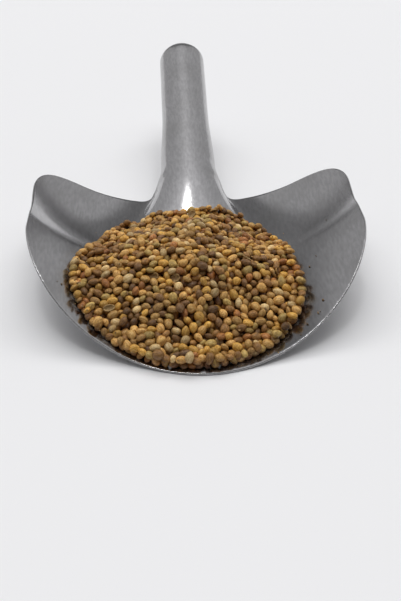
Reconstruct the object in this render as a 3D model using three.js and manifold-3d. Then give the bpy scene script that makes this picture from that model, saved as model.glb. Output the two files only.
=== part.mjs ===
// A pressed-steel hand scoop with a heap of hemp seeds in its pan.
// Millimetres, +Z up, +Y towards the handle. The scoop stands on z = 0.

import * as THREE from 'three';
import Module from 'manifold-3d';

// ---------------------------------------------------------------- driving dimensions

// The sheet that the whole scoop is pressed from.
const SHEET = 1;

// The pan. "Half" lengths are measured along the sheet, from the middle line to the rim.
const PAN_HALF = 81;
const LIP_LENGTH = 65.3; // tip of the lip to where the rims run straight
const LIP_POWER_ACROSS = 1.4; // the lip is a superellipse with these two powers
const LIP_POWER_ALONG = 1.89;
const LIP_TIP = 5; // rounds the very tip
const RIM_LENGTH = 49; // straight rim, up to the rear corner
const REAR_BOW = 19.2; // how far the rear edge bulges towards the handle
const CORNER = 13; // rounding of the two rear corners
const REAR_GAIN = { most: 0.031, from: 50, to: 125 }; // the blank widens this much to the rear

// The cross-section: a flat floor strip, then rolled sides. It changes from front to rear.
const FLAT_HALF = { front: 12, rear: 2.2 };
const SIDE_RADIUS = { front: 75, rear: 84.5 };
const SECTION_CHANGE = { from: 40, to: 118 };

// The ridge that rises out of the floor and becomes the tubular handle.
const RIDGE = { start: 82, end: 134, height: 21.5, radius: 16.2, halfWidth: 30.5, edge: 9 };

// The neck where the sheet narrows, then rolls shut into a tube.
const NECK = { half: 26, station: 135.5, filletReach: 2.2 };
const ROLL = { from: 131, full: 141, shut: 154 };

// The handle.
const HANDLE_SLOPE = 0.35; // rise per millimetre run
const HANDLE_RADIUS = { neck: 14.1, grip: 12.5, flareFrom: 130, flareTo: 143, gripFrom: 175 };
const TILT = { from: 124, to: 156 }; // where its cross-sections turn square to it
const HANDLE_END = 218; // where the rounded end starts
const END_LENGTH = 9;

// The heap of seeds. Reaches are measured from its middle, every 30 degrees from +X.
const HEAP_MIDDLE = { x: -3, y: 57 };
const HEAP_TOP = 24.4;
const HEAP_REACH = [47.2, 49.3, 58.5, 48.3, 59.5, 48.5, 51.4, 54.3, 54.6, 55.3, 54.7, 52.5];
const HEAP_ROUNDING = 0.25; // how blunt its top is, as a share of its reach
const HEAP_WAVE = 0.7; // dips and swells of its surface
const WAVE_TURNS = { round: 0.21, along: 0.17, slant: 0.11, back: 0.13 }; // radians a millimetre
const HEAP_GAP = 1.05; // kept between the heap and the pan
const RIDGE_GAP = 0.2; // more over the ridge, for each millimetre of its height
const CORE_DEPTH = 1.6; // how far the core lies under the seeds' tops
const CORE_SHRINK = 0.97; // the core's reach as a share of the heap's
const CORE_LEAST = 0.6; // thickness kept at its edge

// The seeds that show.
const SEED_LENGTH = { least: 3.5, most: 4.7 };
const SEED_WIDTH_SHARE = { least: 0.74, most: 0.86 };
const SEED_THICKNESS_SHARE = { least: 0.64, most: 0.76 };
const SEED_COUNT = 235;
const SEED_SPACING = 4.9;
const SEED_TAPER = 0.12; // how much fuller the blunt end is
const SEED_TILT = 0.5; // radians, the most either way
const SEED_EMBED = 0.75; // of its half thickness, under the heap's surface
const SEED_MARGIN = 0.8; // kept between its middle and the heap's outline
const SPOT_TRIES = 400;
const NORMAL_STEP = 1.5; // over which the surface's slope is taken
const RANDOM_SEED = 20611;

// Fineness of the mesh.
const RIDGE_COLUMNS = 7;
const SIDE_COLUMNS = 12;
const COLUMN_EASE = 1.25; // brings the columns closer together beside the neck
const PAN_ROWS = 16;
const NECK_ROWS = 6;
const HANDLE_ROWS = 4;
const END_ROWS = 4;
const SECTION_STEP = 0.5;
const STRENGTH_LIMIT = 1.4; // of the ridge's bend, in the search for it
const HALVINGS = 24; // of that search
const HEAP_SPOKES = 30;
const HEAP_RINGS = 6;

// ---------------------------------------------------------------- small helpers

const lerp = THREE.MathUtils.lerp;
const clamp = THREE.MathUtils.clamp;
const smooth = (x, from, to) => THREE.MathUtils.smoothstep(x, from, to);

function makeRandom(start) {
  let state = start;
  return () => {
    state = (state * 1664525 + 1013904223) % 4294967296;
    return state / 4294967296;
  };
}

// ---------------------------------------------------------------- outline of the pan

// Distance from the tip to the lip, at a place measured across the sheet.
function lipAt(across) {
  const rounded = Math.hypot(across, LIP_TIP) - LIP_TIP;
  const share = clamp(rounded / (Math.hypot(PAN_HALF, LIP_TIP) - LIP_TIP), 0, 1);
  const left = 1 - share ** LIP_POWER_ACROSS;
  return LIP_LENGTH * (1 - left ** (1 / LIP_POWER_ALONG));
}

// Distance from the tip to the rear edge. The corner is a parabolic arc between the rear
// edge and the straight rim, and the edge sweeps up into the neck.
function rearAt(across) {
  const place = Math.abs(across);
  if (place <= NECK.half) return NECK.station;
  const end = LIP_LENGTH + RIM_LENGTH;
  const edge = (p) => end + REAR_BOW * (1 - (p / PAN_HALF) ** 2);
  const inner = PAN_HALF - CORNER;
  if (place > inner) {
    const t = 1 - Math.sqrt(Math.max(0, (PAN_HALF - place) / CORNER));
    return (1 - t) ** 2 * edge(inner) + 2 * t * (1 - t) * end + t ** 2 * (end - CORNER);
  }
  const rise = NECK.station - edge(NECK.half);
  return edge(place) + rise * Math.exp(-(place - NECK.half) / NECK.filletReach);
}

// ---------------------------------------------------------------- cross-sections

// Radius of the ridge, then of the tube, which narrows fast at the neck and slowly behind it.
function handleRadius(station) {
  const { neck, grip, flareFrom, flareTo, gripFrom } = HANDLE_RADIUS;
  const flare = lerp(RIDGE.radius, neck, smooth(station, flareFrom, flareTo));
  return flare + (grip - neck) * smooth(station, flareTo, gripFrom);
}

// Height of the ridge's top above the floor: a cubic that leaves the floor level and
// reaches the handle's slope where the pan ends.
function ridgeHeight(station) {
  const run = RIDGE.end - RIDGE.start;
  const t = (station - RIDGE.start) / run;
  if (t <= 0) return 0;
  if (t >= 1) return RIDGE.height + HANDLE_SLOPE * (station - RIDGE.end);
  return RIDGE.height * (3 * t ** 2 - 2 * t ** 3) + HANDLE_SLOPE * run * (t ** 3 - t ** 2);
}

// The sheet's angle to the horizontal, at a place across and a station along.
function sheetAngle(across, station, strength) {
  const change = smooth(station, SECTION_CHANGE.from, SECTION_CHANGE.to);
  const flat = lerp(FLAT_HALF.front, FLAT_HALF.rear, change);
  const radius = lerp(SIDE_RADIUS.front, SIDE_RADIUS.rear, change);
  const roll = smooth(station, ROLL.from, ROLL.full);
  const side = Math.max(across - flat, 0) / radius;
  const fade = Math.exp(-((across / RIDGE.halfWidth) ** RIDGE.edge) * (1 - roll));
  return side * (1 - roll) - strength * (across / handleRadius(station)) * fade;
}

// Follows the sheet from the middle line outwards, as a list of x, z and angle.
function followSheet(station, strength, length) {
  const list = [{ x: 0, z: 0, angle: 0 }];
  const steps = Math.ceil(length / SECTION_STEP);
  for (let i = 0; i < steps; i += 1) {
    const angle = sheetAngle((i + 0.5) * SECTION_STEP, station, strength);
    const last = list[i];
    list.push({
      x: last.x + SECTION_STEP * Math.cos(angle),
      z: last.z + SECTION_STEP * Math.sin(angle),
      angle: sheetAngle((i + 1) * SECTION_STEP, station, strength),
    });
  }
  return list;
}

const lowest = (list) => Math.min(...list.map((point) => point.z));

// How strongly the sheet is bent at a station, so that the ridge has its height there.
function ridgeStrength(station) {
  if (station >= ROLL.full) return 1;
  const measured = Math.min(station, RIDGE.end);
  const wanted = ridgeHeight(measured);
  if (wanted === 0) return 0;
  let low = 0;
  let high = STRENGTH_LIMIT;
  for (let i = 0; i < HALVINGS; i += 1) {
    const middle = (low + high) / 2;
    if (-lowest(followSheet(measured, middle, PAN_HALF)) < wanted) low = middle;
    else high = middle;
  }
  return lerp(high, 1, smooth(station, RIDGE.end, ROLL.full));
}

const sections = new Map();

function sectionAt(station) {
  const key = Math.round(station * 100) / 100;
  if (!sections.has(key)) {
    const strength = ridgeStrength(key);
    const gain = 1 + REAR_GAIN.most * smooth(key, REAR_GAIN.from, REAR_GAIN.to);
    sections.set(key, { gain, list: followSheet(key, strength, PAN_HALF * gain + 1) });
  }
  return sections.get(key);
}

// A point of the section, on the upper face (depth 0) or below it, relative to the middle.
function sectionPoint(across, station, depth) {
  const { list } = sectionAt(station);
  const place = Math.abs(across) / SECTION_STEP;
  const i = Math.min(Math.floor(place), list.length - 2);
  const part = place - i;
  const angle = lerp(list[i].angle, list[i + 1].angle, part);
  const side = Math.sign(across);
  return {
    x: side * (lerp(list[i].x, list[i + 1].x, part) + depth * Math.sin(angle)),
    z: lerp(list[i].z, list[i + 1].z, part) - depth * Math.cos(angle),
  };
}

function tiltAt(station) {
  return Math.atan(HANDLE_SLOPE) * smooth(station, TILT.from, TILT.to);
}

function sheetPoint(across, station, depth) {
  const local = sectionPoint(across, station, depth);
  const tilt = tiltAt(station);
  return new THREE.Vector3(
    local.x,
    station - local.z * Math.sin(tilt),
    SHEET + ridgeHeight(station) + local.z * Math.cos(tilt),
  );
}

// ---------------------------------------------------------------- the scoop

// The places of the columns, as distances across the sheet on one side.
function panColumns() {
  const half = [];
  for (let i = 0; i <= RIDGE_COLUMNS; i += 1) half.push((NECK.half * i) / RIDGE_COLUMNS);
  const outer = Math.asin(NECK.half / PAN_HALF);
  for (let i = 1; i <= SIDE_COLUMNS; i += 1) {
    half.push(PAN_HALF * Math.sin(lerp(outer, Math.PI / 2, (i / SIDE_COLUMNS) ** COLUMN_EASE)));
  }
  return [...half.slice(1).reverse().map((place) => -place), ...half];
}

function tongueHalf(station) {
  const t = clamp((station - NECK.station) / (ROLL.shut - NECK.station), 0, 1);
  return lerp(NECK.half, Math.PI * handleRadius(station), t);
}

// Rows of pairs of points, one on each face of the sheet. A closed row shares its last
// point with its first, and the last row of all is one point.
function scoopRows() {
  const columns = panColumns();
  const pan = [];
  for (let j = 0; j <= PAN_ROWS; j += 1) {
    pan.push(columns.map((across) => {
      const station = lerp(lipAt(across), rearAt(across), j / PAN_ROWS);
      const place = across * sectionAt(station).gain;
      return [0, SHEET].map((depth) => sheetPoint(place, station, depth));
    }));
  }
  const shares = [];
  for (let i = -RIDGE_COLUMNS; i <= RIDGE_COLUMNS; i += 1) shares.push(i / RIDGE_COLUMNS);
  const neck = [];
  for (let j = 1; j <= NECK_ROWS; j += 1) {
    const station = lerp(NECK.station, ROLL.shut, j / NECK_ROWS);
    neck.push(shares.map((share) => {
      const place = share * lerp(sectionAt(station).gain, 1, j / NECK_ROWS) * tongueHalf(station);
      return [0, SHEET].map((depth) => sheetPoint(place, station, depth));
    }));
  }
  const tilt = Math.atan(HANDLE_SLOPE);
  const along = new THREE.Vector3(0, Math.cos(tilt), Math.sin(tilt));
  const up = new THREE.Vector3(0, -Math.sin(tilt), Math.cos(tilt));
  const ring = (station, squeeze, push) => shares.map((share) => [0, SHEET].map((depth) => {
    const radius = handleRadius(station);
    const top = new THREE.Vector3(0, station, SHEET + ridgeHeight(station));
    const turn = share * Math.PI;
    return top
      .addScaledVector(up, (radius - depth) * squeeze * Math.cos(turn) - radius)
      .addScaledVector(along, push * (END_LENGTH - depth))
      .add(new THREE.Vector3((radius - depth) * squeeze * Math.sin(turn), 0, 0));
  }));
  const handle = [];
  for (let j = 1; j <= HANDLE_ROWS; j += 1) {
    handle.push(ring(lerp(ROLL.shut, HANDLE_END, j / HANDLE_ROWS), 1, 0));
  }
  for (let j = 1; j <= END_ROWS; j += 1) {
    const turn = (j / END_ROWS) * (Math.PI / 2);
    handle.push(ring(HANDLE_END, Math.cos(turn), Math.sin(turn)));
  }
  return { pan, neck, handle };
}

// Numbers the points, splits every four into two triangles on both faces, and closes the
// sheet with a narrow wall along each free edge.
function makeScoop() {
  const { pan, neck, handle } = scoopRows();
  const points = [];
  const number = (pair) => points.push(pair) - 1;
  const panIds = pan.map((row) => row.map(number));
  const firstTongue = SIDE_COLUMNS;
  const tongueIds = [panIds[PAN_ROWS].slice(firstTongue, firstTongue + 2 * RIDGE_COLUMNS + 1)];
  const rows = [...neck, ...handle];
  rows.forEach((row, j) => {
    const closed = j >= neck.length - 1;
    const last = j === rows.length - 1;
    if (last) {
      const tip = number(row[0]);
      tongueIds.push(row.map(() => tip));
      return;
    }
    const ids = row.slice(0, closed ? -1 : undefined).map(number);
    if (closed) ids.push(ids[0]);
    tongueIds.push(ids);
  });

  const faces = [];
  const addFace = (a, b, c) => {
    if (a !== b && b !== c && c !== a) faces.push([a, b, c]);
  };
  for (const grid of [panIds, tongueIds]) {
    for (let j = 0; j + 1 < grid.length; j += 1) {
      for (let i = 0; i + 1 < grid[j].length; i += 1) {
        const [a, b, c, d] = [grid[j][i], grid[j][i + 1], grid[j + 1][i + 1], grid[j + 1][i]];
        const left = i < (grid[j].length - 1) / 2;
        addFace(a, b, left ? d : c);
        addFace(left ? b : a, c, d);
      }
    }
  }

  const edges = new Map();
  for (const face of faces) {
    face.forEach((from, i) => {
      const to = face[(i + 1) % 3];
      if (!edges.delete(`${to},${from}`)) edges.set(`${from},${to}`, [from, to]);
    });
  }
  const index = [];
  const upper = (id) => 2 * id;
  const lower = (id) => 2 * id + 1;
  for (const [a, b, c] of faces) {
    index.push(upper(a), upper(b), upper(c), lower(a), lower(c), lower(b));
  }
  for (const [from, to] of edges.values()) {
    index.push(upper(from), lower(from), lower(to), upper(from), lower(to), upper(to));
  }
  const positions = points.flatMap((pair) => pair.flatMap((point) => point.toArray()));
  const geometry = new THREE.BufferGeometry();
  geometry.setAttribute('position', new THREE.Float32BufferAttribute(positions, 3));
  geometry.setIndex(index);
  return geometry;
}

// ---------------------------------------------------------------- the heap

// Height of the pan's upper face.
function panHeight(x, y) {
  const { list } = sectionAt(y);
  const wanted = Math.abs(x);
  const i = clamp(list.findIndex((point) => point.x >= wanted), 1, list.length - 1);
  const part = (wanted - list[i - 1].x) / (list[i].x - list[i - 1].x);
  return SHEET + ridgeHeight(y) + lerp(list[i - 1].z, list[i].z, part);
}

// How far the heap reaches in a direction, by a smooth curve through the named reaches.
function heapReach(angle) {
  const count = HEAP_REACH.length;
  const place = (((angle / (2 * Math.PI)) * count) % count + count) % count;
  const i = Math.floor(place);
  const t = place - i;
  const [p, q, r, s] = [-1, 0, 1, 2].map((k) => HEAP_REACH[(i + k + count) % count]);
  return q + 0.5 * t * (r - p + t * (2 * p - 5 * q + 4 * r - s + t * (3 * (q - r) + s - p)));
}

function heapHeight(x, y) {
  const dx = x - HEAP_MIDDLE.x;
  const dy = y - HEAP_MIDDLE.y;
  const angle = Math.atan2(dy, dx);
  const reach = heapReach(angle);
  const share = Math.min(Math.hypot(dx, dy) / reach, 1);
  const foot = panHeight(
    HEAP_MIDDLE.x + reach * Math.cos(angle),
    HEAP_MIDDLE.y + reach * Math.sin(angle),
  );
  const blunt = (u) => Math.hypot(u, HEAP_ROUNDING) - HEAP_ROUNDING;
  const drop = blunt(share) / blunt(1);
  const { round, along, slant, back } = WAVE_TURNS;
  const wave = Math.sin(x * round + 1) * Math.cos(y * along) + Math.sin(x * slant - y * back);
  return lerp(HEAP_TOP, foot, drop) + HEAP_WAVE * wave * (1 - share ** 4);
}

// The core: spokes and rings above, the same below, and one point in the middle of each.
function makeCore() {
  const positions = [];
  const index = [];
  const place = (share, spoke, lift) => {
    const angle = (2 * Math.PI * spoke) / HEAP_SPOKES;
    const reach = share * CORE_SHRINK * heapReach(angle);
    const x = HEAP_MIDDLE.x + reach * Math.cos(angle);
    const y = HEAP_MIDDLE.y + reach * Math.sin(angle);
    const floor = panHeight(x, y) + HEAP_GAP + RIDGE_GAP * ridgeHeight(y);
    const top = Math.max(heapHeight(x, y) - CORE_DEPTH, floor + CORE_LEAST);
    positions.push(x, y, lift ? top : floor);
  };
  for (const lift of [true, false]) {
    const first = positions.length / 3;
    place(0, 0, lift);
    for (let k = 1; k <= HEAP_RINGS; k += 1) {
      for (let i = 0; i < HEAP_SPOKES; i += 1) place(k / HEAP_RINGS, i, lift);
    }
    const id = (k, i) => (k === 0 ? first : first + 1 + (k - 1) * HEAP_SPOKES + (i % HEAP_SPOKES));
    const add = (a, b, c) => index.push(...(lift ? [a, b, c] : [a, c, b]));
    for (let i = 0; i < HEAP_SPOKES; i += 1) {
      add(id(0, 0), id(1, i), id(1, i + 1));
      for (let k = 1; k < HEAP_RINGS; k += 1) {
        add(id(k, i), id(k + 1, i), id(k + 1, i + 1));
        add(id(k, i), id(k + 1, i + 1), id(k, i + 1));
      }
    }
  }
  const rim = 1 + (HEAP_RINGS - 1) * HEAP_SPOKES;
  const below = positions.length / 6;
  for (let i = 0; i < HEAP_SPOKES; i += 1) {
    const [a, b] = [rim + i, rim + ((i + 1) % HEAP_SPOKES)];
    index.push(a, a + below, b + below, a, b + below, b);
  }
  return { positions, index };
}

// A seed is an ovoid with 20 faces, a little fuller at one end.
const seedShape = new THREE.IcosahedronGeometry(1, 0);

function seedPoints(size, centre, turn) {
  const source = seedShape.getAttribute('position');
  const seen = new Map();
  const index = [];
  const points = [];
  for (let i = 0; i < source.count; i += 1) {
    const point = new THREE.Vector3().fromBufferAttribute(source, i);
    const key = point.toArray().map((value) => value.toFixed(4)).join();
    if (!seen.has(key)) {
      seen.set(key, points.length);
      const taper = 1 - SEED_TAPER * point.x;
      point.set(point.x * size.x, point.y * size.y * taper, point.z * size.z * taper);
      points.push(point.applyQuaternion(turn).add(centre));
    }
    index.push(seen.get(key));
  }
  return { points, index };
}

// Heights of the surface around a place give the direction it faces.
function heapNormal(x, y) {
  const step = NORMAL_STEP;
  return new THREE.Vector3(
    heapHeight(x - step, y) - heapHeight(x + step, y),
    heapHeight(x, y - step) - heapHeight(x, y + step),
    2 * step,
  ).normalize();
}

// Seeds over the whole surface, the largest first, each clear of the pan.
function scatterSeeds() {
  const random = makeRandom(RANDOM_SEED);
  const between = (range) => lerp(range.least, range.most, random());
  const lengths = Array.from({ length: SEED_COUNT }, () => between(SEED_LENGTH));
  lengths.sort((a, b) => b - a);
  const placed = [];
  const seeds = [];
  for (const length of lengths) {
    const spot = findSpot(random, placed);
    if (spot) {
      placed.push(spot);
      const size = new THREE.Vector3(
        length / 2,
        (length / 2) * between(SEED_WIDTH_SHARE),
        (length / 2) * between(SEED_THICKNESS_SHARE),
      );
      const normal = heapNormal(spot.x, spot.y);
      const level = new THREE.Quaternion().setFromUnitVectors(new THREE.Vector3(0, 0, 1), normal);
      const spin = new THREE.Quaternion().setFromEuler(new THREE.Euler(
        SEED_TILT * (random() * 2 - 1),
        SEED_TILT * (random() * 2 - 1),
        Math.PI * 2 * random(),
        'ZYX',
      ));
      const centre = new THREE.Vector3(spot.x, spot.y, heapHeight(spot.x, spot.y))
        .addScaledVector(normal, -SEED_EMBED * size.z);
      seeds.push(liftClear(seedPoints(size, centre, level.multiply(spin))));
    }
  }
  return seeds;
}

function findSpot(random, placed) {
  for (let tries = 0; tries < SPOT_TRIES; tries += 1) {
    const angle = 2 * Math.PI * random();
    const share = Math.sqrt(random());
    const reach = share * (heapReach(angle) - SEED_MARGIN);
    const spot = {
      x: HEAP_MIDDLE.x + reach * Math.cos(angle),
      y: HEAP_MIDDLE.y + reach * Math.sin(angle),
    };
    const free = placed.every((other) => Math.hypot(other.x - spot.x, other.y - spot.y) > SEED_SPACING);
    if (free) return spot;
  }
  return null;
}

// A seed that would cross the pan is moved up until it is clear.
function liftClear(seed) {
  const short = Math.max(...seed.points.map((p) => panHeight(p.x, p.y) + HEAP_GAP - p.z));
  if (short > 0) seed.points.forEach((point) => { point.z += short; });
  return seed;
}

// ---------------------------------------------------------------- joining

const wasm = await Module();
wasm.setup();

function solidOf(positions, index) {
  return new wasm.Manifold(new wasm.Mesh({
    numProp: 3,
    vertProperties: new Float32Array(positions),
    triVerts: new Uint32Array(index),
  }));
}

function makeHeap() {
  const core = makeCore();
  let solid = solidOf(core.positions, core.index);
  for (const seed of scatterSeeds()) {
    const positions = seed.points.flatMap((point) => point.toArray());
    solid = solid.add(solidOf(positions, seed.index));
  }
  const mesh = solid.getMesh();
  const geometry = new THREE.BufferGeometry();
  geometry.setAttribute('position', new THREE.Float32BufferAttribute(mesh.vertProperties, 3));
  geometry.setIndex(largestBody(Array.from(mesh.triVerts), mesh.vertProperties.length / 3));
  return geometry;
}

// Keeps the triangles of the largest connected body, which drops loose scraps and fills
// sealed hollows.
function largestBody(index, count) {
  const parent = Array.from({ length: count }, (_, i) => i);
  const root = (i) => {
    let at = i;
    while (parent[at] !== at) {
      parent[at] = parent[parent[at]];
      at = parent[at];
    }
    return at;
  };
  const sizes = new Map();
  for (let i = 0; i < index.length; i += 3) {
    parent[root(index[i])] = root(index[i + 1]);
    parent[root(index[i + 1])] = root(index[i + 2]);
  }
  for (const id of index) sizes.set(root(id), (sizes.get(root(id)) ?? 0) + 1);
  const [largest] = [...sizes].sort((a, b) => b[1] - a[1])[0];
  return index.filter((id) => root(id) === largest);
}

// ---------------------------------------------------------------- the model

const steel = new THREE.MeshStandardMaterial({ color: 0x8b898c, roughness: 0.34, metalness: 1 });
const seedCoat = new THREE.MeshStandardMaterial({ color: 0x9c7f4c, roughness: 0.55, metalness: 0 });

const scoop = new THREE.Mesh(makeScoop(), steel);
scoop.name = 'scoop';
const heap = new THREE.Mesh(makeHeap(), seedCoat);
heap.name = 'hemp_seeds';

const model = new THREE.Group();
model.add(scoop, heap);

// The origin is the middle of the scoop's footprint, on the surface it stands on.
const box = new THREE.Box3().setFromObject(model);
model.position.set(-(box.min.x + box.max.x) / 2, -(box.min.y + box.max.y) / 2, -box.min.z);

export default model;
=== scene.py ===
"""A pressed-steel hand scoop with a heap of hemp seeds in its pan.

Lengths are millimetres in the scoop's own coordinates (the lip's tip is at y = 0, the
handle points along +Y, the scoop stands on z = 0) until place() turns them into metres in
the row frame.
"""

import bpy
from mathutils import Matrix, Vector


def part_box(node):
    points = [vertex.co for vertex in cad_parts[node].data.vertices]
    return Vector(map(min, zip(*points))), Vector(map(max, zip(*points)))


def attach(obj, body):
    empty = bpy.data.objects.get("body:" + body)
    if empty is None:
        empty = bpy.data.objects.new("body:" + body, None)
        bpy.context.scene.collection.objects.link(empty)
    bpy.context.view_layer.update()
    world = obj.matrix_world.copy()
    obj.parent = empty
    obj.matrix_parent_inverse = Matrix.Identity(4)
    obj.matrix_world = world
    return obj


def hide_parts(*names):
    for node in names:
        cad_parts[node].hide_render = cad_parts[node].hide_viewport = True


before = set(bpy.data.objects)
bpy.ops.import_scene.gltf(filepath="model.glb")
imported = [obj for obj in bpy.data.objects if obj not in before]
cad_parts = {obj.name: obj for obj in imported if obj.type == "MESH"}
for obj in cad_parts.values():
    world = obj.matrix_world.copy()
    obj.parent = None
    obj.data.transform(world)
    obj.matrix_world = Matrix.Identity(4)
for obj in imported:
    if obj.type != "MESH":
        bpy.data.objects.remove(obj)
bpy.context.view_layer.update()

import math

import bpy
import numpy as np
from mathutils import Matrix, Vector

MM = 0.001
LIP_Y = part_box("scoop")[0][1]  # where the lip's tip is in the row frame, in metres

# ---------------------------------------------------------------- driving dimensions

SHEET = 1.0

# The pan. Its rear is a little smoother than that of the solids. "Half" lengths run along
# the sheet.
PAN_HALF = 81.0
LIP_LENGTH = 65.3
LIP_POWER_ACROSS = 1.4
LIP_POWER_ALONG = 1.89
LIP_TIP = 5.0
RIM_LENGTH = 53.2
REAR_BOW = 15.8
CORNER = 19.0
REAR_GAIN = 0.058  # the blank is this much wider at the rear
GAIN_CHANGE = (80.0, 120.0)

# The cross-section: a flat strip of floor, then rolled sides, in front and at the rear.
FLAT_HALF = (12.0, 18.0)
SIDE_RADIUS = (75.0, 64.7)
SECTION_CHANGE = (60.0, 112.0)

# The ridge that rises out of the floor and rolls shut into the tubular handle.
RIDGE_START, RIDGE_END = 72.0, 134.0
RIDGE_HEIGHT = 21.5
RIDGE_RADIUS = 16.2
RIDGE_HALF_WIDTH = 30.5
RIDGE_EDGE = 9  # how sharply its bend ends at its half width
NECK_HALF = 26.0
NECK_STATION = 135.5
NECK_FILLET = 2.2
ROLL_FROM, ROLL_FULL, ROLL_SHUT = 131.0, 141.0, 154.0

# The handle.
HANDLE_SLOPE = 0.35
NECK_RADIUS, GRIP_RADIUS = 14.1, 12.5
FLARE = (130.0, 143.0)
GRIP_FROM = 175.0
TILT = (124.0, 156.0)  # where the cross-sections turn square to it
HANDLE_END = 218.0
END_LENGTH = 9.0

# The rim of the sheet is rounded: its faces stop short and an arc bulges out.
RIM_INSET = 0.3
RIM_BULGE = 0.4
RIM_TURNS = (58.0, 28.0, 0.0, -28.0, -58.0)

# The heap. Reaches are measured from its middle, every 30 degrees from +X.
HEAP_MIDDLE = (-3.0, 57.0)
HEAP_TOP = 24.4
HEAP_REACH = np.array([47.2, 49.3, 58.5, 48.3, 59.5, 48.5, 51.4, 54.3, 54.6, 55.3, 54.7, 52.5])
HEAP_ROUNDING = 0.25
HEAP_WAVE = 0.7
WAVE_TURNS = {"round": 0.21, "along": 0.17, "slant": 0.11, "back": 0.13}  # radians a millimetre

# The seeds, and the near-black core under them: painted shade that shows in the gaps between them.
SEED_LENGTH = (3.2, 5.2)
SEED_COUNT = 1750
SEED_ROUND = 0.415  # mean reach of a lying seed about its middle, as a share of its length
SEED_SQUAT = 0.74  # its height as a share of its mean width
SEED_WIDTH_SHARE = (0.66, 0.84)
SEED_THICKNESS_SHARE = (0.56, 0.72)
SEED_EDGE = 1.9  # kept between the middles of the outermost seeds and the heap's outline
LIP_MARGIN = 0.3  # kept between the middles of the foremost seeds and the lip
CORE_BELOW = 5.2
CORE_SHRINK = 0.94
CORE_GAP = 0.5
CORE_LEAST = 0.3  # thickness kept at its edge
PAN_CLEARANCE = 0.05
LENGTH_SPREAD = (1.6, 1.8)  # of the beta distribution of the lengths
SEED_TILTS = (0.32, 0.4)  # spread of the seeds' pitch and roll, in radians

# A seed's form, each as a share and drawn for each seed between two limits.
SEED_TAPER = (0.05, 0.2)
SEED_POINT = (0.0, 0.08)
SEED_KEEL = (0.03, 0.08)
SEED_LUMPS = (0.0, 0.035)
SEED_DENT = 0.07  # of the scar at the blunt end
POINT_ANGLE, DENT_ANGLE, SCAR_ANGLE = 0.35, 0.16, 0.19  # how wide these are, in radians
KEEL_POWER, SEAM_POWER = 10, 24  # how narrow the keel and its dark seam are

# How the seeds come to rest: they fall a little at each step and push each other apart.
LAYER = 8.0  # depth that they start in
SETTLE_STEPS = 160
STEPS_A_SEARCH = 8
NEIGHBOUR_REACH = 5.5
FALL = 0.12
PUSHES_A_STEP = 3
PUSH_SHARE = 0.35

# Split husks take the place of some seeds on top, and crumbs of chaff lie about.
HUSK_SHARE = 0.07
HUSK_WALL = 0.16  # thickness of its wall as a share of its half length
HUSK_DEPTH = 1.5  # a husk lies no deeper than this under the heap's surface
HUSK_ENDS = (9.0, 171.0)  # degrees from the blunt end
HUSK_TEAR = 0.12
HUSK_TEETH = 9
HUSKS_UPSIDE_DOWN = 0.35
CRUMB_COUNT = 190
CRUMB_LENGTH = (0.5, 1.5)
CRUMB_WIDTH_SHARE = (0.4, 0.8)
CRUMB_THICKNESS_SHARE = (0.15, 0.35)
CRUMB_LUMPS = (0.75, 1.2)
# Crumbs on the bare steel: x, y and length.
LOOSE_CRUMBS = (
    (-44.7, 24.4, 1.7), (-45.9, 26.2, 1.1), (-43.6, 26.8, 1.3), (-56.8, 40.8, 1.1), (-54.9, 53.4, 1.0),
    (-47.8, 33.0, 0.9), (-41.0, 18.6, 0.8), (-34.7, 16.8, 1.0), (-31.5, 11.0, 0.8), (-49.5, 30.1, 0.7),
    (49.9, 30.6, 1.2), (46.9, 24.2, 1.1), (47.7, 24.9, 0.7), (42.0, 20.3, 1.0), (31.9, 13.1, 1.1),
    (60.6, 84.3, 0.9), (38.8, 15.4, 0.7), (29.0, 8.4, 0.7), (48.6, 55.9, 1.0), (52.2, 61.0, 0.6),
)
SCATTER_OF_DUST = 80  # still smaller crumbs close round the heap
DUST_LENGTH = (0.25, 0.7)
DUST_SPREAD, DUST_INWARDS = 2.2, 1.5

# Fineness of the tables and meshes.
TABLE_STEP = 0.5
TABLE_STATIONS, TABLE_ACROSS, TABLE_WIDTH = 161, 92, 75
HALVINGS = 24
STRENGTH_LIMIT = 1.4
MAP_CORNER = (-80, -10)  # where the map of the seeds' tops starts
MAP_CELLS = (320, 280)
MAP_SCALE = 2  # its cells a millimetre
RIDGE_COLUMNS = 30
SIDE_COLUMNS = 54
COLUMN_EASE = 1.5
PAN_ROWS = 90
NECK_ROWS = 26
HANDLE_ROWS = 30
END_ROWS = 12
SEED_SIDES = 14
SEED_RINGS = (10.0, 18.0, 31.0, 48.0, 68.0, 90.0, 112.0, 134.0, 154.0, 168.0)  # degrees
HUSK_COLUMNS = 9
HUSK_RINGS = 11
CORE_SPOKES = 72
CORE_RINGS = 14

# Colours and finish.
STEEL_DULL = (0.40, 0.395, 0.40, 1)
STEEL_BRIGHT = (0.47, 0.465, 0.47, 1)
STEEL_SMUDGE = (0.33, 0.325, 0.32, 1)
STEEL_DUST = (0.24, 0.20, 0.15, 1)
STEEL_ROUGHNESS = (0.17, 0.23)
DUST_REACH = 6.0
HUSK_OUTSIDE = ((0.46, 0.27, 0.09, 1), (0.22, 0.11, 0.035, 1))
HUSK_INSIDE = ((0.50, 0.36, 0.17, 1), (0.30, 0.19, 0.08, 1))
CRUMB_COLOURS = ((0.42, 0.26, 0.11, 1), (0.12, 0.07, 0.03, 1))
# Painted shade: the core's near-black browns stand for the shade deep between the seeds.
CORE_SHADE_COLOURS = ((0.02, 0.011, 0.005, 1), (0.07, 0.04, 0.018, 1))
# Painted shade between the seeds: the depths below their tops where it starts and where it is full.
PAINTED_SHADE_DEPTH = (0.8, 4.5)
SEED_VEIN = (0.10, 0.05, 0.018, 1)
SEED_SCAR = (0.045, 0.024, 0.01, 1)
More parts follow.
